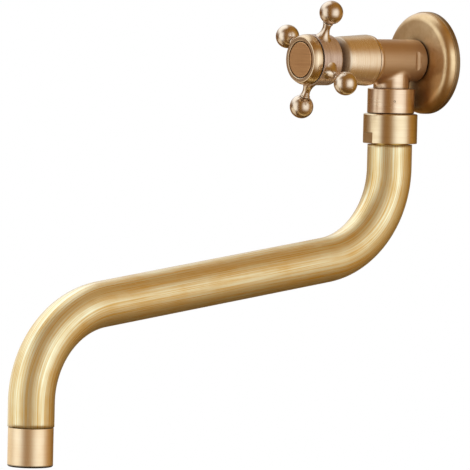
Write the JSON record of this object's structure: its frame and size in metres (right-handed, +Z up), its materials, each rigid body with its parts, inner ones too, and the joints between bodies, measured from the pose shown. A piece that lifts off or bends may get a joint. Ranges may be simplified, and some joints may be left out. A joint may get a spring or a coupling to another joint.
{
  "type": "wall-mount tap",
  "caption": "Wall-mount cold water tap in aged brass: domed wall plate, barrel body with a ball-ended cross handle, and a long S-bent spout that swivels under a union nut.",
  "frame": {"origin": "where the inlet axis meets the wall plane", "axes": "+Y into the wall along the inlet thread, +Z up, -Y out of the wall along the handle axis"},
  "size_m": [0.063, 0.2828, 0.2402],
  "materials": {
    "aged_brass": "aged brass, brushed along the piece and lacquered",
    "aged_handle_brass": "aged brass, turned and satin polished",
    "inlay_brass": "aged brass with straight brush lines",
    "golden_nut_brass": "golden aged brass, brushed",
    "golden_tube_brass": "golden aged brass, brushed along the tube",
    "outlet_brass": "aged brass, satin polished",
    "plain_brass": "machined brass",
    "disc_ceramic": "ground alumina",
    "seal_rubber": "black nitrile rubber",
    "spring_steel": "stainless steel",
    "white_acetal": "moulded acetal"
  },
  "bodies": {
    "tap_body": {"escutcheon": "aged_brass", "wall_gasket": "seal_rubber", "valve_body": "aged_brass", "cartridge_housing": "plain_brass", "cartridge_o_ring": "seal_rubber", "seat_seal": "seal_rubber", "fixed_disc": "disc_ceramic", "bonnet": "aged_brass", "spout_nut": "golden_nut_brass"},
    "handle": {"handle_hub": "aged_handle_brass", "handle_arm_1": "aged_handle_brass", "handle_arm_2": "aged_handle_brass", "handle_arm_3": "aged_handle_brass", "handle_arm_4": "aged_handle_brass", "handle_cap": "aged_handle_brass", "index_disc": "inlay_brass", "handle_screw": "spring_steel", "spindle": "plain_brass", "spindle_o_rings": "seal_rubber", "spindle_clip": "spring_steel", "thrust_washer": "white_acetal", "moving_disc": "disc_ceramic"},
    "spout": {"spout_tube": "golden_tube_brass", "spout_tail": "plain_brass", "tail_o_rings": "seal_rubber", "split_ring": "white_acetal", "outlet_ferrule": "plain_brass", "aerator_shell": "outlet_brass", "aerator_washer": "seal_rubber", "aerator_screen": "spring_steel", "aerator_insert": "white_acetal"}
  },
  "joints": [
    {"name": "handle_turn", "type": "hinge", "parent": "tap_body", "child": "handle", "pos_m": [0, -0.0766, 0], "axis": [0, -1, 0], "range_deg": [0, 90]},
    {"name": "spout_swing", "type": "hinge", "parent": "tap_body", "child": "spout", "pos_m": [0, -0.025, -0.0365], "axis": [0, 0, 1], "range_deg": [-90, 90]}
  ]
}
